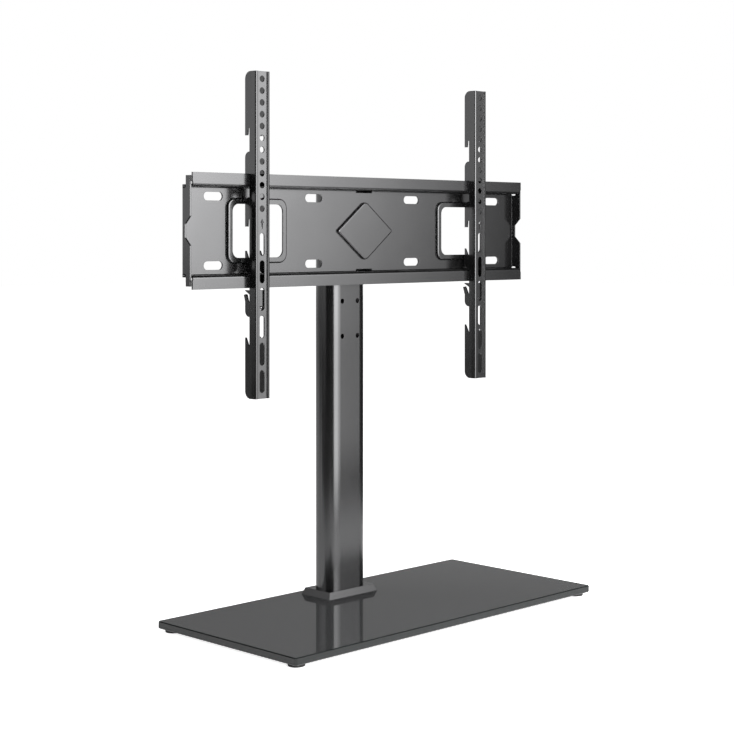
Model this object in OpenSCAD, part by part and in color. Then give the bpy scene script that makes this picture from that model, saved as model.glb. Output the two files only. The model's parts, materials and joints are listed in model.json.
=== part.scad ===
// Tabletop television stand: a glass base with an oval column, and a steel face plate that carries
// two hook-on rails. Millimetres, +Z up. The origin is on the surface that the feet stand on, under
// the middle of the glass. The screen side faces -Y.

/* [Glass base] */
// Width of the glass, left to right
base_w = 586; // [500:2:700]
// Depth of the glass, front to back
base_d = 273; // [240:1:330]
// Thickness of the glass
glass_t = 10; // [8:0.5:12]
// Radius of the glass's corners in plan
base_corner_r = 4; // [3:1:30]
// Width of the ground bevel on the glass's edges
glass_bevel = 1.2; // [0.5:0.1:2]
// Diameter of a foot
foot_d = 22; // [16:1:30]
// Height of a foot
foot_h = 4.5; // [4.2:0.1:8]
// Distance from the glass's edges to the middle of a foot
foot_inset = 15.5; // [15.5:0.5:30]
// Radius of the rounded rim under a foot
foot_rim = 0.8; // [0.3:0.1:1.5]

/* [Column foot] */
// Width of the steel foot plate that the column is welded to
foot_plate_w = 84; // [78:1:86]
// Depth of the foot plate
foot_plate_d = 47; // [44:0.5:48]
// Thickness of the foot plate
foot_plate_t = 6; // [5:0.5:6.5]
// Thickness of the gasket between glass and foot plate
gasket_t = 1; // [0.6:0.1:1.2]
// Thickness of the clamp plate under the glass
clamp_t = 3; // [2.5:0.1:3.2]
// Thickness of the gasket over the clamp plate
clamp_gasket_t = 0.8; // [0.5:0.1:1]
// Distance between the glass bolts, left to right
base_bolt_x = 60; // [50:1:64]
// Distance between the glass bolts, front to back
base_bolt_y = 30; // [24:1:30]
// Diameter of the holes in the glass
glass_hole_d = 10; // [9:0.5:12]
// Wall of the nylon bushings in those holes
bushing_wall = 1.5; // [1:0.1:1.7]

/* [Collar] */
// Width of the collar at the glass
collar_w = 95; // [94:0.5:110]
// Depth of the collar at the glass
collar_d = 58.5; // [57:0.5:70]
// Height of the collar
collar_h = 9.7; // [9.4:0.1:14]
// How far each side of the collar leans in from bottom to top
collar_lean = 3.7; // [2:0.1:4.2]

/* [Column] */
// Width of the oval column
col_w = 75; // [70:1:78]
// Depth of the column, front to back
col_d = 42.5; // [40:0.5:44]
// Radius of the column's corners
col_r = 18.5; // [12:0.5:19.5]
// Wall of the column
col_wall = 2; // [1.5:0.1:3]
// Distance from the column's axis to the glass's rear edge
col_rear = 47; // [42:1:70]
// How far the column reaches above the middle of the face plate
col_over = 65.5; // [62:0.5:70]
// Thickness of the column cap's rim
cap_t = 2.5; // [2:0.5:5]
// Depth of the plug under the cap
cap_plug = 8; // [5:1:9]
// Height step between two rows of fixing holes
row_pitch = 50; // [40:1:52]
// Number of rows of fixing holes
rows = 5; // [4:1:7]
// Distance between the two holes of a row
row_holes_x = 30; // [24:1:32]
// Diameter of the fixing holes
col_hole_d = 7; // [6.6:0.1:8]

/* [Fasteners] */
// Diameter of the glass bolts and of the column bolts
bolt_d = 6; // [5:0.5:6.4]
// Diameter of a countersunk head
sink_head_d = 12; // [10:0.5:12.4]
// Diameter of a column bolt's head
pan_head_d = 11; // [10:0.5:13]
// Height of a column bolt's head
pan_head_h = 3.5; // [2.5:0.1:5]
// Size of the hexagon socket
socket_af = 4; // [3:0.5:5]
// Outer diameter of a washer
washer_d = 14; // [12:0.5:16]
// Thickness of a washer
washer_t = 1.6; // [1:0.1:2]
// Width of a weld nut across its flats
nut_af = 10; // [9:0.5:12]
// Height of a weld nut
nut_h = 5; // [4:0.1:6]
// Outer diameter of the sleeves inside the column
sleeve_d = 10; // [9:0.5:12]

/* [Face plate] */
// Height of the middle of the face plate above the glass
plate_up = 520; // [440:5:620]
// Width of the face plate over its lips, between the end flanges
plate_w = 650; // [600:5:720]
// Height of the face plate over both lips
plate_h = 150; // [148:0.5:156]
// Thickness of the plate's steel sheet
sheet = 2.5; // [2:0.1:2.6]
// Depth of the face plate, lip front to web back
plate_depth = 20.5; // [19.5:0.5:24]
// Straight height of a lip
lip_h = 14; // [13:0.5:15]
// Inner radius of the plate's bends
bend_r = 1.5; // [1:0.1:2]
// How far the end flanges stay behind the lips
end_back = 2.7; // [2.2:0.1:5]
// Width of the tabs that stop the rails
tab_w = 8.5; // [6:0.1:9]
// Height of a tab above the end flange
tab_h = 11.5; // [9:0.5:12]
// Depth of the notch in an end flange
notch_depth = 10.4; // [4:0.1:10.6]
// Height of the notch at its mouth
notch_mouth = 38; // [30:1:50]
// Height of the notch at its floor
notch_floor = 17.4; // [10:0.2:24]
// Depth of the pressed shapes in the web
emboss = 4; // [3:0.1:6]
// Radius of the front edges of the diamond and the rims
crest_r = 2.4; // [1:0.1:2.8]
// Width of the diamond pressed into the middle
diamond_w = 111; // [90:1:120]
// Height of the diamond over its points before rounding
diamond_h = 86; // [75:1:100]
// Radius of the diamond's upper and lower points
diamond_r = 10; // [6:1:16]
// Radius of the diamond's side points
diamond_side_r = 3; // [3:0.5:5]
// Width of each large window
window_w = 89; // [70:0.5:96]
// Height of each large window
window_h = 71; // [60:1:80]
// Radius of a window's corners
window_r = 10; // [4:0.5:12]
// Width of the pressed rim round a window
rim_w = 7.7; // [7:0.1:11]
// Radius of the rim's outer corners
rim_r = 12.5; // [10:0.5:16]
// Distance from the plate's middle to a window's middle
window_x = 202.4; // [185:0.1:210]
// Length of a fixing slot
slot_l = 32; // [24:0.5:34]
// Width of a fixing slot
slot_w = 11.2; // [8:0.1:12.5]
// Distance from the plate's middle to the inner slots' middle
slot_in_x = 97.5; // [90:0.5:110]
// Distance from the plate's middle to the outer slots' middle
slot_out_x = 276.4; // [275:0.2:295]
// Height of the slots above and below the plate's middle
slot_z = 45.1; // [40:0.1:48]

/* [Plate bracket] */
// Width of the bracket's web on the column
bracket_w = 60; // [56:1:62]
// Height of the bracket
bracket_h = 116; // [114:1:118]
// Distance from the face plate to the column
bracket_depth = 26; // [22:0.5:40]
// Thickness of the bracket's sheet
bracket_t = 2.5; // [2:0.1:4]
// Width of each welded foot of the bracket
bracket_foot = 15; // [10:0.5:25]

/* [Rails] */
// Length of a rail
rail_l = 430; // [340:2:520]
// Width of a rail
rail_w = 26.5; // [24:0.5:30]
// Depth of a rail, rear edge to front
rail_d = 20.5; // [20:0.5:26]
// Thickness of a rail's steel sheet
rail_sheet = 2; // [1.5:0.1:2.1]
// Distance from the plate's end to a rail's middle
rail_in = 108; // [30:1:215]
// Distance from a rail's top to its first hook seat
seat_drop = 74.5; // [60:0.5:80]
// Distance between two hook seats
seat_pitch = 60; // [56:0.5:64]
// Index of the hook seat in use, counted from the top
seat_used = 1; // [0:1:2]
// Depth of the cut-outs from the rail's rear edge
cut_depth = 8.7; // [8.3:0.1:8.8]
// Width of a hook at its tip
hook_tip = 5; // [3:0.1:5.4]
// Height of a hook
hook_h = 9.5; // [8:0.5:11]
// Length of the opening under a hook
hook_open = 29.5; // [26:0.5:30]
// Distance from the lower lip's edge down to the foot of the middle spike
spike_drop = 19; // [17:0.5:21]
// Distance between two spikes
spike_pitch = 57; // [56:0.5:58]
// Height of a spike
spike_h = 10.7; // [8:0.1:12]
// Length of the opening over a spike
spike_open = 35.2; // [30:0.2:36]
// Width of the gap in front of a spike's foot
spike_gap = 1.8; // [1:0.1:2.4]
// Width of a spike's tip
spike_tip = 1.5; // [1:0.1:3]
// Radius of the rounded corner at the far end of each opening
cut_r = 8; // [4:0.5:8.2]
// Radius of the rail's rear corners
rail_corner_r = 10; // [4:0.5:14]
// Radius of the rounded bends along the front of a rail
rail_bend = 2.2; // [2.2:0.1:3]
// Depth of the strip that the holes are in, below the two ridges
strip_depth = 1.5; // [0.8:0.1:1.6]
// Width of that strip
strip_w = 16; // [12:0.5:16]
// Diameter of the round screw holes
rail_hole_d = 8.4; // [8:0.1:9]
// Number of round screw holes
rail_holes = 12; // [8:1:12]
// Distance between two round holes
rail_hole_pitch = 15.5; // [13:0.5:15.5]
// Distance from a rail's top to its first round hole
rail_hole_top = 10; // [8:0.5:12]
// Distance between two upright slots
rail_slot_pitch = 36; // [34:0.5:36]
// Length of an upright slot
rail_slot_l = 30; // [24:0.5:31]
// Distance from a rail's bottom to its lowest slot's middle
rail_slot_end = 22.6; // [18:0.2:23]
// Distance from the lowest round hole to the punched arrow
arrow_down = 19.8; // [18:0.2:22]
// Height of the punched arrow
arrow_h = 13.3; // [9:0.1:14]
// Width of the punched arrow
arrow_w = 6; // [4:0.5:8]

/* [Latches] */
// Distance from a rail's rear edge to the latch pin
latch_pin_in = 11; // [10.5:0.1:11.2]
// Distance from the lower lip's edge down to the latch pin
latch_drop = 29; // [27:0.5:31]
// Diameter of a latch pin
latch_pin_d = 4; // [3:0.5:4.5]
// Diameter of the latch's hub round its pin
latch_hub_d = 10; // [8:0.5:10.5]
// Thickness of the latch's two side plates
cheek_t = 2; // [1.5:0.1:3]
// Gap between the lower lip's edge and the latch's nose
latch_gap = 3; // [1.5:0.1:3.5]
// How far the nose reaches past the rail's rear edge
nose_out = 3.5; // [1:0.5:5]
// Height of the nose where it leaves the arm
nose_h = 8; // [6:0.5:10]
// Width of the latch's arm
arm_w = 7; // [5:0.5:7.5]
// How far a finger lug reaches past the rail's rear edge
finger_out = 6; // [1:0.1:8]
// Width of a finger lug
finger_w = 5.5; // [3:0.5:8]
// Height of a finger lug's upper edge above the pin
finger_top = 20; // [16:0.5:20]
// Height of a finger lug's lower edge above the pin
finger_low = 10; // [6:0.5:11]
// Thickness of a finger lug
finger_t = 2; // [1.5:0.1:2.5]
// Outer diameter of the latch spring's coil
spring_d = 7.4; // [6.8:0.1:8]
// Length of the latch spring's coil
spring_l = 9; // [4:0.5:12]
// Thickness of the spring's wire
wire_d = 1.2; // [0.8:0.1:1.4]

/* [Hidden] */
$fn = 64;

// Colours of the parts
powder_black = [0.16, 0.16, 0.17];
gloss_black = [0.06, 0.06, 0.07];
rubber_black = [0.05, 0.05, 0.05];
zinc = [0.62, 0.63, 0.65];

// One overrun for every cut, and the named clearances
over = 1;
fit_gap = 0.3;
thread_gap = 0.05;
bolt_tip = 1;
pin_gap = 0.05;
hook_gap = 0.2;
seat_gap = 0.1;
sink_gap = 0.1;

// Small sizes: relief holes at the plate's bends, and the step in a rail's sides
relief_w = 32;
relief_h = 4.2;
relief_end_w = 8.5;
relief_end_h = 3.6;
relief_end_y = 15.2;
end_gap = 0.8;
relief_in = 1;
rail_step = 0.5;
strip_run = 0.4;
rail_step_in = 13.5;
nose_tip_h = 0.8;

// Steps of the arcs that are drawn with points
arc_steps = 8;
crest_steps = 5;
corner_steps = 12;

// Shares of the piece that carries each detail
socket_share = 0.5;
arrow_head_share = 0.4;
arrow_stem_share = 0.34;
finger_lean_share = 0.5;

// Heights, from the surface up
glass_top = foot_h + glass_t;
foot_plate_z = glass_top + gasket_t;
col_z = foot_plate_z + foot_plate_t;
plate_z = glass_top + plate_up;
col_top = plate_z + col_over;
lip_top = plate_z + plate_h/2;
lip_bottom = plate_z - plate_h/2;
clamp_z = foot_h - clamp_gasket_t - clamp_t;
top_row = plate_z + row_pitch;

// Places from front to back
col_y = base_d/2 - col_rear;
col_front = col_y - col_d/2;
col_back = col_y + col_d/2;
web_back = col_front - bracket_depth;
lip_front = web_back - plate_depth;
rail_rear = lip_front - hook_gap + cut_depth;
rail_front = rail_rear - rail_d;

// The face plate's section, measured from its middle
bend_outer = bend_r + sheet;
flange_in = plate_h/2 - lip_h - bend_outer;
flange_out = flange_in + sheet;
web_front = plate_depth - sheet;
emboss_front = web_front - emboss;

// Rails
rail_top = lip_top + seat_gap + seat_drop + seat_used*seat_pitch;
spike_z = -seat_drop - seat_pitch - plate_h - spike_drop;
rail_pin_y = rail_rear - latch_pin_in;
rail_pin_z = lip_bottom - latch_drop;
rail_room = rail_w - 2*rail_sheet - 2*rail_step;
latch_w = rail_room - 2*fit_gap;
arm_front = -(rail_d - latch_pin_in - strip_depth - rail_sheet - fit_gap);
rail_x = plate_w/2 - rail_in;

// Patterns along a rail: round holes from the top, slots from the bottom as far up as the arrow,
// and a spike for each hook as far down as the rail reaches
hooks = 3;
last_hole = rail_hole_top + (rail_holes - 1)*rail_hole_pitch;
arrow_mid = last_hole + arrow_down;
slot_clear = 3;
slot_room = rail_l - rail_slot_end - rail_slot_l/2 - arrow_mid - arrow_h/2 - slot_clear;
rail_slots = floor(slot_room/rail_slot_pitch) + 1;
low_spikes = min(hooks - 2, floor((rail_l - rail_corner_r + spike_z)/spike_pitch));

// Points on an arc, from one angle to another
function arc(c, r, a0, a1, n = arc_steps) =
    [for (i = [0:n]) c + r*[cos(a0 + (a1 - a0)*i/n), sin(a0 + (a1 - a0)*i/n)]];

// Rectangle with round corners, about its middle
module round_rect(w, h, r) {
    square([w - 2*r, h], center = true);
    square([w, h - 2*r], center = true);
    for (x = [-1, 1], y = [-1, 1])
        translate([x*(w/2 - r), y*(h/2 - r)]) circle(r = r);
}

// Slot with round ends, lying along the first axis
module slot_shape(l, w) {
    square([l - w, w], center = true);
    for (x = [-1, 1]) translate([x*(l - w)/2, 0]) circle(d = w);
}

// Turns a drawing in Y and Z into a solid that runs along X
module along_x(l) {
    translate([-l/2, 0, 0]) rotate([90, 0, 90]) linear_extrude(l) children();
}

// Turns a drawing in X and Z into a cutter that runs through the web
module through_web(y0, y1) {
    translate([0, y1, 0]) rotate([90, 0, 0]) linear_extrude(y1 - y0) children();
}

// Places copies at the four glass bolts
module at_base_bolts() {
    for (x = [-1, 1], y = [-1, 1])
        translate([x*base_bolt_x/2, col_y + y*base_bolt_y/2, 0]) children();
}

// Places copies, turned to look backwards, at the four column bolts
module at_column_bolts(y) {
    for (x = [-1, 1], z = [-1, 1])
        translate([x*row_holes_x/2, y, plate_z + z*row_pitch]) rotate([-90, 0, 0]) children();
}

// Glass slab with round corners and a ground bevel on both edges
module bevel_profile(w) {
    b = glass_bevel;
    polygon([[-w/2 + b, 0], [w/2 - b, 0], [w/2, b], [w/2, glass_t - b], [w/2 - b, glass_t],
        [-w/2 + b, glass_t], [-w/2, glass_t - b], [-w/2, b]]);
}

module glass_base() {
    b = glass_bevel;
    r = base_corner_r;
    color(gloss_black) translate([0, 0, foot_h]) difference() {
        union() {
            translate([0, base_d/2 - r, 0]) rotate([90, 0, 0])
                linear_extrude(base_d - 2*r) bevel_profile(base_w);
            translate([-base_w/2 + r, 0, 0]) rotate([90, 0, 90])
                linear_extrude(base_w - 2*r) bevel_profile(base_d);
            for (x = [-1, 1], y = [-1, 1]) translate([x*(base_w/2 - r), y*(base_d/2 - r), 0])
                rotate_extrude() polygon([[0, 0], [r - b, 0], [r, b], [r, glass_t - b],
                    [r - b, glass_t], [0, glass_t]]);
        }
        at_base_bolts() translate([0, 0, -over]) cylinder(h = glass_t + 2*over, d = glass_hole_d);
    }
}

// Rubber foot with a rounded rim
module foot(x, y) {
    r = foot_d/2;
    color(rubber_black)
        translate([x*(base_w/2 - foot_inset), y*(base_d/2 - foot_inset), 0])
        rotate_extrude() polygon(concat([[0, 0]],
            arc([r - foot_rim, foot_rim], foot_rim, -90, 0), [[r, foot_h], [0, foot_h]]));
}

module foot_front_left() { foot(-1, -1); }
module foot_front_right() { foot(1, -1); }
module foot_back_left() { foot(-1, 1); }
module foot_back_right() { foot(1, 1); }

// Rectangular sheet round the column's axis, with four bolt holes
module foot_sheet(z, t, hole_d) {
    translate([0, 0, z]) difference() {
        translate([0, col_y, t/2]) cube([foot_plate_w, foot_plate_d, t], center = true);
        at_base_bolts() translate([0, 0, -over]) cylinder(h = t + 2*over, d = hole_d);
    }
}

module clamp_plate() {
    hole_r = bolt_d/2 + sink_gap;
    head_r = sink_head_d/2 + sink_gap;
    color(zinc) difference() {
        foot_sheet(clamp_z, clamp_t, 2*hole_r);
        at_base_bolts() translate([0, 0, clamp_z])
            cylinder(h = head_r - hole_r, r1 = head_r, r2 = hole_r);
    }
}

module clamp_gasket() {
    color(rubber_black) foot_sheet(clamp_z + clamp_t, clamp_gasket_t, bolt_d + 2*fit_gap);
}

module glass_bushings() {
    color("white") at_base_bolts() translate([0, 0, foot_h]) difference() {
        cylinder(h = glass_t, d = glass_hole_d - 2*sink_gap);
        translate([0, 0, -over]) cylinder(h = glass_t + 2*over, d = glass_hole_d - 2*bushing_wall);
    }
}

// Countersunk bolts from below, with a hexagon socket
module base_bolts() {
    head_h = (sink_head_d - bolt_d)/2;
    color(zinc) at_base_bolts() translate([0, 0, clamp_z]) difference() {
        union() {
            cylinder(h = head_h, r1 = sink_head_d/2, r2 = bolt_d/2);
            cylinder(h = foot_plate_z + foot_plate_t - clamp_z, d = bolt_d);
        }
        translate([0, 0, -over])
            cylinder(h = over + head_h*socket_share, d = socket_af/cos(30), $fn = 6);
    }
}

module base_gasket() {
    color(rubber_black) foot_sheet(glass_top, gasket_t, glass_hole_d);
}

module foot_plate() {
    color(powder_black) foot_sheet(foot_plate_z, foot_plate_t, bolt_d + 2*thread_gap);
}

// Collar with leaning sides and mitred corners, hollow over the foot plate
module collar() {
    room_h = gasket_t + foot_plate_t + fit_gap;
    c = collar_lean;
    color(powder_black) translate([0, col_y, glass_top]) difference() {
        intersection() {
            translate([0, collar_d/2, 0]) rotate([90, 0, 0]) linear_extrude(collar_d)
                polygon([[-collar_w/2, 0], [collar_w/2, 0], [collar_w/2 - c, collar_h],
                    [-collar_w/2 + c, collar_h]]);
            along_x(collar_w)
                polygon([[-collar_d/2, 0], [collar_d/2, 0], [collar_d/2 - c, collar_h],
                    [-collar_d/2 + c, collar_h]]);
        }
        translate([0, 0, (room_h - over)/2])
            cube([foot_plate_w + 2*fit_gap, foot_plate_d + 2*fit_gap, room_h + over], center = true);
        linear_extrude(collar_h + over)
            round_rect(col_w + 2*fit_gap, col_d + 2*fit_gap, col_r + fit_gap);
    }
}

module column() {
    color(powder_black) difference() {
        translate([0, col_y, col_z]) linear_extrude(col_top - col_z) difference() {
            round_rect(col_w, col_d, col_r);
            round_rect(col_w - 2*col_wall, col_d - 2*col_wall, col_r - col_wall);
        }
        for (i = [0:rows - 1], x = [-1, 1])
            translate([x*row_holes_x/2, col_back + over, top_row - i*row_pitch])
            rotate([90, 0, 0]) cylinder(h = col_d + 2*over, d = col_hole_d);
    }
}

// Sleeves that keep the column's walls apart under the bolts
module column_sleeves() {
    l = col_d - 2*col_wall;
    color(zinc) at_column_bolts(col_front + col_wall) difference() {
        cylinder(h = l, d = sleeve_d);
        translate([0, 0, -over]) cylinder(h = l + 2*over, d = bolt_d + 2*fit_gap);
    }
}

module column_cap() {
    w = col_w - 2*col_wall - 2*fit_gap;
    d = col_d - 2*col_wall - 2*fit_gap;
    color(gloss_black) translate([0, col_y, 0]) {
        translate([0, 0, col_top]) linear_extrude(cap_t) round_rect(col_w, col_d, col_r);
        translate([0, 0, col_top - cap_plug]) linear_extrude(cap_plug)
            round_rect(w, d, col_r - col_wall - fit_gap);
    }
}

module column_bolts() {
    reach = washer_t + col_d + bracket_t + nut_h + bolt_tip;
    color(gloss_black) at_column_bolts(col_back + washer_t) difference() {
        union() {
            cylinder(h = pan_head_h, d = pan_head_d);
            translate([0, 0, -reach]) cylinder(h = reach, d = bolt_d);
        }
        translate([0, 0, pan_head_h*(1 - socket_share)])
            cylinder(h = pan_head_h, d = socket_af/cos(30), $fn = 6);
    }
}

module column_washers() {
    color(zinc) at_column_bolts(col_back) difference() {
        cylinder(h = washer_t, d = washer_d);
        translate([0, 0, -over]) cylinder(h = washer_t + 2*over, d = bolt_d + 2*fit_gap);
    }
}

// Hat-shaped bracket between the column and the back of the face plate
module plate_bracket() {
    color(powder_black) difference() {
        translate([0, 0, plate_z - bracket_h/2]) linear_extrude(bracket_h) {
            translate([-bracket_w/2, col_front - bracket_t]) square([bracket_w, bracket_t]);
            for (x = [-1, 1]) {
                translate([x*(bracket_w - bracket_t)/2 - bracket_t/2, web_back])
                    square([bracket_t, bracket_depth]);
                translate([x*(bracket_w/2 + bracket_foot/2 - bracket_t/2) - bracket_foot/2, web_back])
                    square([bracket_foot, bracket_t]);
            }
        }
        at_column_bolts(col_front - bracket_t - over)
            cylinder(h = bracket_t + 2*over, d = bolt_d + 2*fit_gap);
    }
}

module bracket_nuts() {
    color(zinc) at_column_bolts(col_front - bracket_t - nut_h) difference() {
        cylinder(h = nut_h, d = nut_af/cos(30), $fn = 6);
        translate([0, 0, -over]) cylinder(h = nut_h + 2*over, d = bolt_d + 2*thread_gap);
    }
}

// Section of the face plate in Y and Z: web behind, flanges forward, lips turned outwards
module plate_section() {
    bend_y = sheet + bend_r;
    difference() {
        translate([plate_depth - flange_out, 0]) round_rect(2*flange_out, 2*flange_out, bend_outer);
        translate([plate_depth - flange_out, 0])
            round_rect(2*(flange_out - sheet), 2*flange_in, bend_r);
        translate([bend_y - 2*flange_out, -flange_out - over])
            square([2*flange_out, 2*flange_out + 2*over]);
    }
    for (s = [-1, 1]) scale([1, s]) {
        translate([bend_y, flange_out + bend_r]) intersection() {
            difference() {
                circle(r = bend_outer);
                circle(r = bend_r);
            }
            translate([-bend_outer, -bend_outer]) square(bend_outer);
        }
        translate([0, flange_out + bend_r]) square([sheet, lip_h]);
    }
}

// Corners of a rounded rectangle, anticlockwise: each corner's middle, its radius and the directions
// that the sides before and after it face
function rect_corners(w, h, r) = [for (i = [0:3])
    [[(i == 0 || i == 3 ? 1 : -1)*(w/2 - r), (i < 2 ? 1 : -1)*(h/2 - r)], r, 90*i, 90*i + 90]];

// Corners of a diamond with rounded points, in the same form
function diamond_corners(w, h, tip_r, side_r) =
    let (a = atan(w/h), tip = h/2 - tip_r/sin(a), side = w/2 - side_r/cos(a))
    [[[0, tip], tip_r, a, 180 - a], [[-side, 0], side_r, 180 - a, 180 + a],
    [[0, -tip], tip_r, 180 + a, 360 - a], [[side, 0], side_r, -a, a]];

// Point on a corner's arc, or inside it by an inset, in a given direction
function on_corner(k, a, inset) = k[0] + (k[1] - inset)*[cos(a), sin(a)];

// Outline round a list of corners
module outline(corners) {
    polygon([for (k = corners, i = [0:corner_steps]) on_corner(k, k[2] + (k[3] - k[2])*i/corner_steps, 0)]);
}

// Panel pressed forwards out of the web, with a rounded front edge
module pressed(corners) {
    h = emboss + sheet/2;
    translate([0, web_front + sheet/2, 0]) rotate([90, 0, 0]) hull()
        for (k = corners) translate(k[0]) rotate_extrude($fn = 32)
            polygon(concat([[0, 0], [k[1], 0]],
                arc([k[1] - crest_r, h - crest_r], crest_r, 0, 90, crest_steps), [[0, h]]));
}

// End flange in Y and Z with its notch and its two tabs
module end_flange_shape() {
    d = plate_depth - end_back;
    difference() {
        union() {
            translate([plate_depth - flange_out, 0])
                intersection() {
                    round_rect(2*flange_out, 2*flange_out, bend_outer);
                    translate([flange_out - d, -flange_out]) square([d, 2*flange_out]);
                }
            translate([end_back, -flange_out - tab_h]) square([tab_w, 2*(flange_out + tab_h)]);
        }
        polygon([[end_back - over, -notch_mouth/2], [end_back, -notch_mouth/2],
            [end_back + notch_depth, -notch_floor/2], [end_back + notch_depth, notch_floor/2],
            [end_back, notch_mouth/2], [end_back - over, notch_mouth/2]]);
    }
}

module face_plate() {
    rim_out_w = window_w + 2*rim_w;
    rim_out_h = window_h + 2*rim_w;
    wall = sheet/sin(atan(diamond_h/diamond_w));
    color(powder_black) translate([0, lip_front, plate_z]) difference() {
        union() {
            along_x(plate_w) plate_section();
            for (s = [-1, 1]) translate([s*(plate_w + sheet)/2, 0, 0])
                along_x(sheet) end_flange_shape();
            pressed(diamond_corners(diamond_w, diamond_h, diamond_r, diamond_side_r));
            for (s = [-1, 1]) translate([s*window_x, 0, 0])
                pressed(rect_corners(rim_out_w, rim_out_h, rim_r));
        }
        // Hollow of the diamond, open at the back
        through_web(emboss_front + sheet, plate_depth + over)
            outline(diamond_corners(diamond_w - 2*wall, diamond_h - 2*wall*diamond_h/diamond_w,
                diamond_r - sheet, diamond_side_r));
        for (s = [-1, 1]) translate([s*window_x, 0, 0]) {
            through_web(emboss_front + sheet, plate_depth + over)
                round_rect(rim_out_w - 2*sheet, rim_out_h - 2*sheet, rim_r - sheet);
            through_web(0, plate_depth + over) round_rect(window_w, window_h, window_r);
        }
        // Fixing slots
        for (x = [-slot_out_x, -slot_in_x, slot_in_x, slot_out_x], z = [-1, 1])
            translate([x, 0, z*slot_z]) through_web(web_front - over, plate_depth + over)
            slot_shape(slot_l, slot_w);
        // Relief holes in the middle of the upper and lower bends
        for (z = [-1, 1])
            translate([0, plate_depth - bend_outer, z*(flange_in + relief_in)])
            translate([0, bend_outer/2 + over/2, -z*relief_h/2])
            cube([relief_w, bend_outer + over, relief_h], center = true);
        // Slits that part the end flanges from the upper and lower flanges, and the relief holes
        // that they run into
        for (x = [-1, 1], z = [-1, 1]) translate([x*plate_w/2, 0, z*flange_in]) {
            translate([-x*end_gap/2, relief_end_y/2, z*bend_outer/2])
                cube([end_gap, relief_end_y, 2*bend_outer], center = true);
            along_x(2*bend_outer) translate([relief_end_y, 0]) slot_shape(relief_end_w, relief_end_h);
        }
        // Rounded upright bends at both ends
        for (s = [-1, 1]) scale([s, 1, 1]) translate([plate_w/2 + sheet - bend_outer,
            plate_depth - bend_outer, -flange_out - over]) linear_extrude(2*flange_out + 2*over)
            difference() {
                square(bend_outer + over);
                circle(r = bend_outer);
            }
    }
}

// Section of a rail in X and Y: open at the back, with a sunk strip between two ridges in front.
// inset moves every wall inwards, for the inner face.
module rail_section(inset, back) {
    w = rail_w/2 - inset;
    front = -rail_d + inset;
    bend_x = rail_w/2 - rail_step - rail_bend;
    r = rail_bend - inset;
    k = inset*tan(atan(strip_depth/strip_run)/2);
    right = concat([[w, back], [w, -rail_step_in]],
        arc([bend_x, -rail_d + rail_bend], r, 0, -90),
        [[strip_w/2 + strip_run - k, front], [strip_w/2 - k, front + strip_depth]]);
    left = [for (i = [len(right) - 1:-1:0]) [-right[i][0], right[i][1]]];
    polygon(concat(right, left));
}

// Outline of a hook under its seat, in Y and Z, with the seat's rear corner line at Z 0.
// The points run from the front of the seat round the hook's tip.
function hook_points() = [[-cut_depth, 0], [-cut_depth + sheet + 2*hook_gap, 0],
    [-hook_tip, -hook_h], [over, -hook_h]];

// Outline of a spike that stands with its foot at height z
function spike_points(z) = [[over, z + spike_h], [-spike_tip, z + spike_h],
    [-cut_depth + spike_gap, z], [-cut_depth, z]];

// Cut-out under a hook; its far corner is rounded
module hook_cut() {
    low = -hook_h - hook_open;
    polygon(concat(hook_points(), [[over, low], [0, low]], arc([-cut_r, low], cut_r, 0, 90),
        [[-cut_depth, low + cut_r]]));
}

// Cut-out over a spike; its far corner is rounded
module spike_cut() {
    high = spike_h + spike_open;
    polygon(concat([[-cut_depth, high - cut_r]], arc([-cut_r, high], cut_r, -90, 0),
        [[over, high]], spike_points(0)));
}

// All cuts in the sides of a rail, from its top down. The lowest hook and the highest spike share
// one opening.
module rail_side_cuts() {
    low_hook = -seat_drop - (hooks - 1)*seat_pitch;
    for (i = [0:hooks - 2]) translate([0, -seat_drop - i*seat_pitch]) hook_cut();
    for (i = [0:low_spikes]) translate([0, spike_z - i*spike_pitch]) spike_cut();
    translate([0, low_hook])
        polygon(concat(hook_points(), spike_points(spike_z + spike_pitch - low_hook)));
}

// Up arrow, about its middle
module arrow() {
    neck = arrow_h/2 - arrow_h*arrow_head_share;
    stem = arrow_w/2*arrow_stem_share;
    polygon([[0, arrow_h/2], [arrow_w/2, neck], [stem, neck], [stem, -arrow_h/2],
        [-stem, -arrow_h/2], [-stem, neck], [-arrow_w/2, neck]]);
}

module rail() {
    color(powder_black) translate([0, rail_rear, rail_top]) difference() {
        translate([0, 0, -rail_l]) linear_extrude(rail_l) difference() {
            rail_section(0, 0);
            rail_section(rail_sheet, over);
        }
        along_x(rail_w + 2*over) rail_side_cuts();
        // Rounded rear corners at both ends
        for (s = [-1, 1]) translate([0, 0, -rail_l/2]) along_x(rail_w + 2*over)
            scale([1, s]) translate([-rail_corner_r, rail_l/2 - rail_corner_r]) difference() {
                square(rail_corner_r + over);
                circle(r = rail_corner_r);
            }
        // Screw holes, arrow and slots in the sunk strip
        for (i = [0:rail_holes - 1])
            translate([0, -rail_d/2, -rail_hole_top - i*rail_hole_pitch]) rotate([90, 0, 0])
            cylinder(h = rail_d, d = rail_hole_d);
        for (i = [0:rail_slots - 1])
            translate([0, 0, -rail_l + rail_slot_end + i*rail_slot_pitch])
            through_web(-rail_d - over, -rail_d/2) rotate(90) slot_shape(rail_slot_l, rail_hole_d);
        translate([0, 0, -arrow_mid]) through_web(-rail_d - over, -rail_d/2) arrow();
        // Holes for the latch pin
        translate([-rail_w/2 - over, -latch_pin_in, rail_pin_z - rail_top])
            rotate([0, 90, 0]) cylinder(h = rail_w + 2*over, d = latch_pin_d + 2*thread_gap);
    }
}

module rail_left() { translate([-rail_x, 0, 0]) rail(); }
module rail_right() { translate([rail_x, 0, 0]) rail(); }

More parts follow.
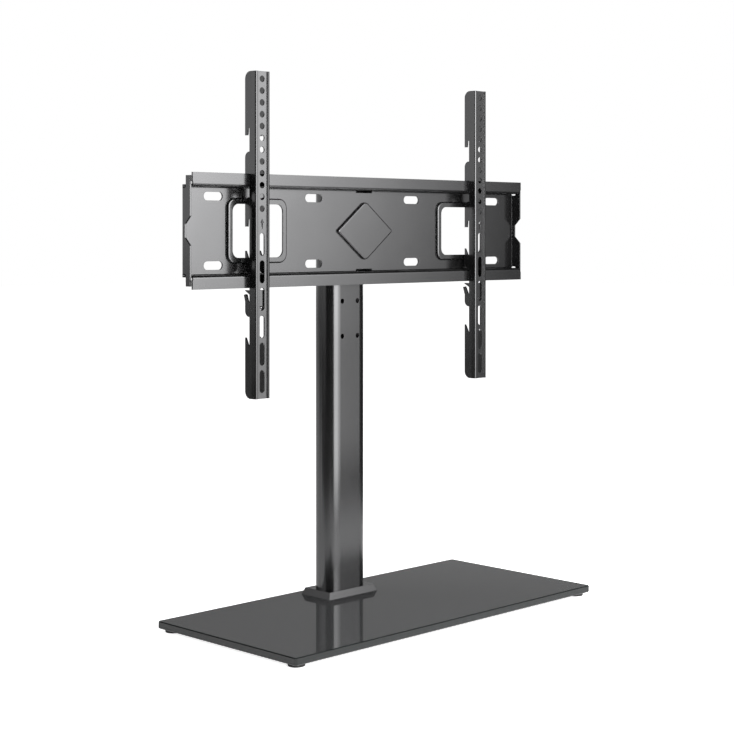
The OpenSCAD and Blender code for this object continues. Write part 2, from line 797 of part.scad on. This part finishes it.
// Side plate of a latch in Y and Z about its pin: arm with a flat-topped nose, and a short lobe
// that carries a finger lug
module cheek_shape() {
    r = latch_hub_d/2;
    top = latch_drop - latch_gap;
    nose_y = latch_pin_in + nose_out;
    arm_back = arm_front + arm_w;
    circle(r = r);
    polygon([[-r, 0], [arm_front, r], [arm_front, top], [nose_y, top], [nose_y, top - nose_tip_h],
        [arm_back, top - nose_h], [arm_back, 0]]);
    polygon(concat([[0, -r]], finger_points(), [[0, 0]]));
}

// Finger lug in Y and Z about the pin, leaning back past the rail's rear edge
function finger_points() =
    let (y1 = latch_pin_in + finger_out, y0 = latch_pin_in + finger_out*finger_lean_share)
    [[y0, finger_low], [y1, finger_top], [y1 - finger_t, finger_top],
     [y0 - finger_t, finger_low]];

module latch() {
    color(powder_black) translate([0, rail_pin_y, rail_pin_z]) difference() {
        union() {
            for (s = [-1, 1]) {
                translate([s*(latch_w - cheek_t)/2, 0, 0]) along_x(cheek_t) cheek_shape();
                translate([s*(latch_w - finger_w)/2, 0, 0])
                    along_x(finger_w) polygon(finger_points());
            }
            // Web that joins the side plates in front
            along_x(latch_w) translate([arm_front, latch_hub_d/2])
                square([cheek_t, latch_drop - latch_gap - latch_hub_d/2]);
        }
        translate([-latch_w, 0, 0]) rotate([0, 90, 0])
            cylinder(h = 2*latch_w, d = latch_pin_d + 2*pin_gap);
    }
}

module latch_left() { translate([-rail_x, 0, 0]) latch(); }
module latch_right() { translate([rail_x, 0, 0]) latch(); }

module latch_pin() {
    color(zinc) translate([-rail_w/2, rail_pin_y, rail_pin_z])
        rotate([0, 90, 0]) cylinder(h = rail_w, d = latch_pin_d);
}

module latch_pin_left() { translate([-rail_x, 0, 0]) latch_pin(); }
module latch_pin_right() { translate([rail_x, 0, 0]) latch_pin(); }

// Torsion spring on the pin between the side plates: a plain coil, and a leg that bears on the
// inside of the rail's front
module latch_spring() {
    leg = rail_d - strip_depth - rail_sheet - latch_pin_in - thread_gap;
    color(zinc) translate([0, rail_pin_y, rail_pin_z]) difference() {
        union() {
            translate([-spring_l/2, 0, 0]) rotate([0, 90, 0]) cylinder(h = spring_l, d = spring_d);
            translate([0, 0, spring_d/2 - wire_d/2]) rotate([90, 0, 0])
                cylinder(h = leg, d = wire_d);
        }
        translate([-spring_l/2 - over, 0, 0]) rotate([0, 90, 0])
            cylinder(h = spring_l + 2*over, d = latch_pin_d + 2*pin_gap);
    }
}

module latch_spring_left() { translate([-rail_x, 0, 0]) latch_spring(); }
module latch_spring_right() { translate([rail_x, 0, 0]) latch_spring(); }

glass_base();
foot_front_left();
foot_front_right();
foot_back_left();
foot_back_right();
clamp_plate();
clamp_gasket();
glass_bushings();
base_bolts();
base_gasket();
foot_plate();
collar();
column();
column_sleeves();
column_cap();
column_bolts();
column_washers();
plate_bracket();
bracket_nuts();
face_plate();
rail_left();
latch_left();
latch_pin_left();
latch_spring_left();
rail_right();
latch_right();
latch_pin_right();
latch_spring_right();
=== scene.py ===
import json
import math

import bmesh
import bpy
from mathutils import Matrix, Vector


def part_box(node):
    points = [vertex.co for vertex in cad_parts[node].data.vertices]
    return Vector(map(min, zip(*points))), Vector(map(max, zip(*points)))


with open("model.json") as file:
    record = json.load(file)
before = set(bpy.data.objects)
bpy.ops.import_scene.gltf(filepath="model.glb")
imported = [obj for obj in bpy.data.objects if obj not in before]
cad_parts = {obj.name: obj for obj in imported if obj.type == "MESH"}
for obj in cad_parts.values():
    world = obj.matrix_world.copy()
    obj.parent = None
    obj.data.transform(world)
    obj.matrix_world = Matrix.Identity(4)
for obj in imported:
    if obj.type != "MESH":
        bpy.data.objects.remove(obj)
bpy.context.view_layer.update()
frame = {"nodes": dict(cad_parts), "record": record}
NODES = frame["nodes"]
scene = bpy.context.scene
scene.view_settings.view_transform = "Standard"

# Places that the rest is set from, all read from the frame
PLATE_LO, PLATE_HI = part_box("face_plate")
PLATE_MID = (PLATE_LO + PLATE_HI) / 2
RAIL_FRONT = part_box("rail_left")[0].y
MM = 0.001
# Width of the sunk strip that a rail's holes are in
STRIP = 16 * MM

# Camera: width and height of the picture, focal length and horizon in pixels, sensor in mm,
# place left of the middle, in front of the plate and below its middle (metres), turn (degrees)
PICTURE = 734.0
FOCAL = 1641.0
HORIZON = 231.7
SENSOR = 36.0
CAMERA_X, CAMERA_AHEAD, CAMERA_BELOW = -1.6421, 1.6312, 0.0011
CAMERA_TURN = -44.98


def make_camera():
    """A level camera at the height of the face plate, from the front left."""
    data = bpy.data.cameras.new("camera")
    data.sensor_width = SENSOR
    data.lens = SENSOR * FOCAL / PICTURE
    data.shift_y = -(PICTURE / 2 - HORIZON) / PICTURE
    data.clip_start, data.clip_end = 0.05, 60.0
    cam = bpy.data.objects.new("camera", data)
    scene.collection.objects.link(cam)
    cam.location = (CAMERA_X, PLATE_LO.y - CAMERA_AHEAD, PLATE_MID.z - CAMERA_BELOW)
    cam.rotation_euler = (math.radians(90), 0, math.radians(CAMERA_TURN))
    scene.camera = cam


make_camera()


# Shader expressions: a socket with arithmetic, and one method that makes any other node
class Sock:
    def __init__(self, finish, socket):
        self.finish, self.socket = finish, socket

    def _math(self, kind, *args):
        return self.finish.node("ShaderNodeMath", {"operation": kind}, list(args))

    def __add__(self, o): return self._math("ADD", self, o)
    def __radd__(self, o): return self._math("ADD", o, self)
    def __sub__(self, o): return self._math("SUBTRACT", self, o)
    def __rsub__(self, o): return self._math("SUBTRACT", o, self)
    def __mul__(self, o): return self._math("MULTIPLY", self, o)
    def __rmul__(self, o): return self._math("MULTIPLY", o, self)
    def high(self, o): return self._math("MAXIMUM", self, o)
    def size(self): return self._math("ABSOLUTE", self)


class Finish:
    """A material and its node tree."""

    def __init__(self, name, tree=None):
        if tree is None:
            self.material = bpy.data.materials.new(name)
            self.material.use_nodes = True
            tree = self.material.node_tree
        self.tree = tree
        tree.nodes.clear()

    def node(self, kind, settings=None, values=None, out=0):
        n = self.tree.nodes.new(kind)
        for key, value in (settings or {}).items():
            if key == "stops":
                ramp = n.color_ramp
                while len(ramp.elements) > 1:
                    ramp.elements.remove(ramp.elements[-1])
                for i, (pos, colour) in enumerate(value):
                    e = ramp.elements[0] if i == 0 else ramp.elements.new(pos)
                    e.position, e.color = pos, (*colour, 1.0) if len(colour) == 3 else colour
            else:
                setattr(n, key, value)
        pairs = values.items() if isinstance(values, dict) else enumerate(values or [])
        for key, value in pairs:
            target = n.inputs[key]
            if isinstance(value, Sock):
                self.tree.links.new(value.socket, target)
            else:
                target.default_value = value
        return Sock(self, n.outputs[out]) if len(n.outputs) else None

    def spot(self):
        """The place on the object, in metres."""
        return self.node("ShaderNodeTexCoord", out=3)

    def stretch(self, vector, scale):
        return self.node("ShaderNodeMapping", {"vector_type": "POINT"}, {"Vector": vector, "Scale": scale})

    def noise(self, vector, scale, detail=3.0, rough=0.5):
        return self.node("ShaderNodeTexNoise", {"noise_dimensions": "3D"},
                         {"Vector": vector, "Scale": scale, "Detail": detail, "Roughness": rough})

    def ramp(self, value, low, high):
        """0 below low, 1 above high, smooth between."""
        return self.node("ShaderNodeMapRange", {"interpolation_type": "SMOOTHSTEP"},
                         {"Value": value, "From Min": low, "From Max": high})

    def tint(self, mask, a, b):
        return self.node("ShaderNodeMix", {"data_type": "RGBA"},
                         {"Factor": mask, 6: (*a, 1.0) if isinstance(a, tuple) else a,
                          7: (*b, 1.0) if isinstance(b, tuple) else b}, out=2)

    def bump(self, height, distance, strength=1.0, normal=None):
        values = {"Height": height, "Distance": distance, "Strength": strength}
        if normal is not None:
            values["Normal"] = normal
        return self.node("ShaderNodeBump", {}, values)

    def rounded(self, radius, samples=6):
        return self.node("ShaderNodeBevel", {"samples": samples}, {"Radius": radius})

    def surface(self, **values):
        shader = self.node("ShaderNodeBsdfPrincipled", {},
                           {k.replace("_", " "): v for k, v in values.items()})
        self.node("ShaderNodeOutputMaterial", {"target": "ALL"}, {"Surface": shader})
        return self.material


def powder_coat(name, grey=0.105, rough=0.20, metal=0.96, edge=0.5 * MM, painted_shade=None):
    """Satin dark grey powder coat: fine orange peel, faint cloudiness. An optional extra function darkens
    chosen places with painted shade.
    """
    f = Finish(name)
    at = f.spot()
    peel = f.noise(at, 900.0, 2.0)
    cloud = f.noise(at, 14.0, 3.0, 0.55)
    speck = f.noise(at, 3200.0, 1.0)
    tone = (cloud - 0.5) * 0.16 + (speck - 0.5) * 0.07 + 1.0
    # Painted shade, where given, is multiplied into the random cloudy tone
    if painted_shade:
        tone = tone * painted_shade(f, at)
    g = (grey, grey, grey * 1.015, 1.0)
    colour = f.node("ShaderNodeMix", {"data_type": "RGBA", "blend_type": "MULTIPLY"},
                    {"Factor": 1.0, 6: g, 7: f.node("ShaderNodeCombineColor", {}, [tone, tone, tone])}, out=2)
    roughness = (cloud - 0.5) * 0.08 + (peel - 0.5) * 0.06 + rough
    normal = f.bump(peel, 0.012 * MM, 0.3, f.rounded(edge))
    return f.surface(Base_Color=colour, Metallic=metal, Roughness=roughness, Normal=normal)


def ridge_painted_shade(middle, outer_shade_factor, inner_shade_factor):
    """Painted shade on a rail's two front ridges, left and right of the strip that the holes are in: their
    colour is darkened to stand in for the darker reflections they show. The two factors give the brightness
    each ridge keeps.
    """
    def painted_shade(f, at):
        across = f.node("ShaderNodeSeparateXYZ", {}, [at]) - middle
        deep = f.node("ShaderNodeSeparateXYZ", {}, [at], out=1)
        front = 1.0 - f.ramp(deep, RAIL_FRONT + 1.3 * MM, RAIL_FRONT + 2.2 * MM)
        left = f.ramp(0.0 - across, STRIP / 2 - 0.1 * MM, STRIP / 2 + 0.3 * MM)
        right = f.ramp(across, STRIP / 2 - 0.1 * MM, STRIP / 2 + 0.3 * MM)
        # Painted shade: each ridge darkened by its factor, the strip between them left as it is
        return 1.0 - front * (left * (1.0 - outer_shade_factor) + right * (1.0 - inner_shade_factor))
    return painted_shade


def black_glass(name):
    """Tempered glass with a black back: a polished top, and ground edges that scatter."""
    f = Finish(name)
    at = f.spot()
    haze = f.noise(at, 9.0, 4.0, 0.6)
    side = f.node("ShaderNodeSeparateXYZ", {}, [f.node("ShaderNodeNewGeometry", out=1)], out=2)
    flat = f.ramp(side.size(), 0.90, 0.99)
    grain = f.noise(at, 2400.0, 2.0)
    colour = f.tint(flat, (0.012, 0.014, 0.014), (0.047, 0.048, 0.049))
    roughness = (1.0 - flat) * 0.16 + (haze - 0.5) * 0.012 + 0.022
    normal = f.bump(grain * (1.0 - flat), 0.02 * MM, 0.4, f.rounded(0.25 * MM))
    return f.surface(Base_Color=colour, Roughness=roughness, Normal=normal, IOR=1.5)


def rubber(name, grey=0.028):
    f = Finish(name)
    at = f.spot()
    grain = f.noise(at, 1800.0, 3.0, 0.6)
    dust = f.ramp(f.noise(at, 120.0, 4.0, 0.6), 0.45, 0.75)
    colour = f.tint(dust * 0.5, (grey, grey, grey), (grey * 2.2, grey * 2.2, grey * 2.1))
    return f.surface(Base_Color=colour, Roughness=(grain - 0.5) * 0.15 + 0.72,
                     Normal=f.bump(grain, 0.05 * MM, 0.5))


def zinc_plate(name, tone=(0.60, 0.60, 0.61), rough=0.30):
    """Zinc plating: faint cloudy bloom and fine turning lines."""
    f = Finish(name)
    at = f.spot()
    bloom = f.noise(at, 260.0, 4.0, 0.6)
    fine = f.noise(f.stretch(at, (1.0, 1.0, 6.0)), 900.0, 2.0)
    dark = tuple(c * 0.78 for c in tone)
    return f.surface(Base_Color=f.tint(f.ramp(bloom, 0.3, 0.7), dark, tone), Metallic=1.0,
                     Roughness=(bloom - 0.5) * 0.14 + rough, Normal=f.bump(fine, 0.02 * MM, 0.35))


def moulded(name, tone, rough=0.45):
    """Moulded plastic with a fine spark-eroded texture."""
    f = Finish(name)
    at = f.spot()
    grain = f.noise(at, 1400.0, 3.0, 0.6)
    pale = tuple(min(1.0, c * 1.15 + 0.004) for c in tone)
    return f.surface(Base_Color=f.tint(f.noise(at, 60.0, 3.0), tone, pale),
                     Roughness=(grain - 0.5) * 0.12 + rough, Normal=f.bump(grain, 0.03 * MM, 0.45))


def rail_coat_with_painted_shade(side, outer_shade_factor, inner_shade_factor):
    """The powder coat of one rail, with painted shade on its two front ridges."""
    low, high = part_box("rail_" + side)
    return powder_coat("powder_coat_painted_shade_rail_" + side, painted_shade=ridge_painted_shade((low.x + high.x) / 2, outer_shade_factor, inner_shade_factor))


POWDER = powder_coat("powder_coat_satin_grey")
# Each rail gets its own copy of the coat with different painted shade: the left rail's ridges much darker, the
# right rail's only a little
RAIL_COATS_WITH_PAINTED_SHADE = {"left": rail_coat_with_painted_shade("left", 0.70, 0.48), "right": rail_coat_with_painted_shade("right", 0.94, 0.90)}
GLASS = black_glass("glass_black_tempered")
RUBBER = rubber("rubber_black")
ZINC = zinc_plate("zinc_plated_steel")
BLACK_BOLT = powder_coat("bolt_black_oxide", 0.07, 0.36, 0.9, 0.2 * MM)
CAP = moulded("cap_black_plastic", (0.020, 0.020, 0.021))
NYLON = moulded("bushing_white_nylon", (0.62, 0.62, 0.58))

FINISHES = {"powder_steel": POWDER, "black_glass": GLASS, "rubber_black": RUBBER,
            "zinc_steel": ZINC, "black_bolt": BLACK_BOLT, "cap_plastic": CAP,
            "bushing_plastic": NYLON}
for part in frame["record"]["subparts"]:
    mesh = NODES[part["node"]].data
    mesh.materials.clear()
    mesh.materials.append(FINISHES[part["material_slot"]])
# The rails take their copies of the coat with painted shade on the ridges
for side, finish in RAIL_COATS_WITH_PAINTED_SHADE.items():
    mesh = NODES["rail_" + side].data
    mesh.materials.clear()
    mesh.materials.append(finish)


def make_floor():
    """The pale floor, white to the camera."""
    f = Finish("studio_floor")
    camera_ray = f.node("ShaderNodeLightPath", out=0)
    glossy_ray = f.node("ShaderNodeLightPath", out=3)
    through_ray = f.node("ShaderNodeLightPath", out=6)
    pale = f.node("ShaderNodeBsdfDiffuse", {}, {"Color": (0.80, 0.80, 0.80, 1.0)})
    # Steel and glass see the pale floor as far as it is in the picture, and a dark one beyond it
    x, y = (f.node("ShaderNodeSeparateXYZ", {}, [f.spot()], out=i) for i in range(2))
    aside = x.size() - f.ramp(y, 0.0, 4.0) * 2.0
    near = f.ramp(y, -0.75, -0.35) * (1.0 - f.ramp(aside, 0.6, 0.9))
    dark = f.node("ShaderNodeBsdfDiffuse", {}, {"Color": (0.08, 0.08, 0.08, 1.0)})
    strength = (camera_ray.high(through_ray) * 0.93).high(glossy_ray * 0.30)
    glow = f.node("ShaderNodeEmission", {}, {"Color": (1, 1, 1, 1), "Strength": strength})
    lit = f.node("ShaderNodeAddShader", {}, [pale, glow])
    both = f.node("ShaderNodeMixShader", {}, [glossy_ray * (1.0 - near), lit, dark])
    f.node("ShaderNodeOutputMaterial", {}, {"Surface": both})
    bm = bmesh.new()
    bmesh.ops.create_grid(bm, x_segments=8, y_segments=8, size=12.0)
    mesh = bpy.data.meshes.new("floor")
    bm.to_mesh(mesh)
    bm.free()
    mesh.materials.append(f.material)
    floor = bpy.data.objects.new("floor", mesh)
    scene.collection.objects.link(floor)


# Soft cards of the studio: turn and lift of the middle, half sizes, softness (degrees), strength
CARDS = [(-118, 14, 20.5, 26, 8, 0.85),
         (134, 28, 42, 21, 5, 0.20)]
# What reflections see between the cards, and what lights the object from all round
DIM = 0.04
ROUND = 0.25
# The room light overhead, in reflections
OVERHEAD = 0.35


def make_world():
    world = bpy.data.worlds.new("studio")
    world.use_nodes = True
    scene.world = world
    f = Finish("studio", world.node_tree)
    camera_ray = f.node("ShaderNodeLightPath", out=0)
    glossy_ray = f.node("ShaderNodeLightPath", out=3)
    through_ray = f.node("ShaderNodeLightPath", out=6)
    way = f.node("ShaderNodeTexCoord", out=0)
    x, y, z = (f.node("ShaderNodeSeparateXYZ", {}, [way], out=i) for i in range(3))
    lift = f.node("ShaderNodeMath", {"operation": "ARCSINE"}, [z]) * (180 / math.pi)
    total = None
    for turn, up, half_w, half_h, soft, strength in CARDS:
        t = math.radians(turn)
        ahead = x * math.sin(t) + y * -math.cos(t)
        across = x * math.cos(t) + y * math.sin(t)
        off = f.node("ShaderNodeMath", {"operation": "ARCTAN2"}, [across, ahead]) * (180 / math.pi)
        off = off.size()
        rise = (lift - float(up)).size()
        inside = (1.0 - f.ramp(off, half_w - soft, half_w + soft)) * \
            (1.0 - f.ramp(rise, half_h - soft, half_h + soft)) * strength
        total = inside if total is None else total + inside
    total = total + f.ramp(z, 0.72, 0.98) * OVERHEAD + DIM
    dim = f.node("ShaderNodeBackground", {}, {"Color": (1, 1, 1, 1), "Strength": ROUND})
    cards = f.node("ShaderNodeBackground", {}, {"Color": (1, 1, 1, 1), "Strength": total})
    white = f.node("ShaderNodeBackground", {}, {"Color": (1, 1, 1, 1), "Strength": 1.0})
    seen = f.node("ShaderNodeMixShader", {}, [glossy_ray, dim, cards])
    # Steel and glass see the white backdrop as well, as high as it stands behind the object
    behind = glossy_ray * f.ramp(y, 0.0, 0.2) * (1.0 - f.ramp(lift, 4.0, 13.0))
    seen = f.node("ShaderNodeMixShader", {}, [camera_ray.high(through_ray).high(behind), seen, white])
    f.node("ShaderNodeOutputWorld", {}, {"Surface": seen})


# Brightness of the front panel along its width (place in metres, radiance) and up its height
PANEL_X = [(-0.50, 0.4), (-0.40, 7.2), (0.22, 7.2), (0.34, 5.1), (0.50, 4.2), (0.85, 2.75), (1.06, 1.75),
           (1.21, 1.1), (1.45, 0.35), (1.65, 0.2)]
PANEL_Z = [(0.0, 0.80), (0.10, 0.66), (0.20, 0.57), (0.30, 0.60), (0.45, 0.85), (0.53, 0.98),
           (0.70, 1.18), (1.15, 1.2)]


def front_panel(y=-1.0):
    """A wide soft panel in front of the stand that shines straight at it and fades to the right."""
    x0, x1, z0, z1 = PANEL_X[0][0], PANEL_X[-1][0], PANEL_Z[0][0], PANEL_Z[-1][0]
    data = bpy.data.lights.new("front_panel", "AREA")
    data.shape = "RECTANGLE"
    data.size, data.size_y = x1 - x0, z1 - z0
    data.energy = math.pi * data.size * data.size_y
    data.use_nodes = True
    f = Finish("front_panel", data.node_tree)
    at = f.node("ShaderNodeNewGeometry", out=5)
    along = f.node("ShaderNodeSeparateXYZ", {}, [at])
    up = f.node("ShaderNodeSeparateXYZ", {}, [at], out=1)
    top_x, top_z = max(v for _, v in PANEL_X), max(v for _, v in PANEL_Z)
    stops_x = [((p - x0) / (x1 - x0), (v / top_x,) * 3) for p, v in PANEL_X]
    stops_z = [((p - z0) / (z1 - z0), (v / top_z,) * 3) for p, v in PANEL_Z]
    wide = f.node("ShaderNodeValToRGB", {"stops": stops_x}, [along])
    tall = f.node("ShaderNodeValToRGB", {"stops": stops_z}, [up])
    glow = f.node("ShaderNodeEmission", {}, {"Color": (1, 1, 1, 1), "Strength": wide * tall * (top_x * top_z)})
    f.node("ShaderNodeOutputLight", {}, [glow])
    ob = bpy.data.objects.new("front_panel", data)
    scene.collection.objects.link(ob)
    ob.location = ((x0 + x1) / 2, y, (z0 + z1) / 2)
    ob.rotation_euler = (math.radians(90), 0, 0)
    ob.visible_camera = False


def lamp(name, turn, lift, far, size, power):
    """A soft box that lights without a reflection. turn goes from the front to the right."""
    data = bpy.data.lights.new(name, "AREA")
    data.shape = "RECTANGLE"
    data.size, data.size_y = size
    data.energy = power
    ob = bpy.data.objects.new(name, data)
    scene.collection.objects.link(ob)
    t, e = math.radians(turn), math.radians(lift)
    way = Vector((math.sin(t) * math.cos(e), -math.cos(t) * math.cos(e), math.sin(e)))
    ob.location = Vector((0, 0, PLATE_MID.z)) + way * far
    ob.rotation_euler = (-way).to_track_quat("-Z", "Y").to_euler()
    ob.visible_camera = False
    ob.visible_glossy = False


make_floor()
make_world()
front_panel()
lamp("box_right", 75, 25, 3.0, (1.2, 1.2), 12)
lamp("box_back_left", -140, 30, 3.0, (1.4, 1.8), 20)
lamp("box_top", 20, 75, 2.6, (1.6, 1.6), 15)
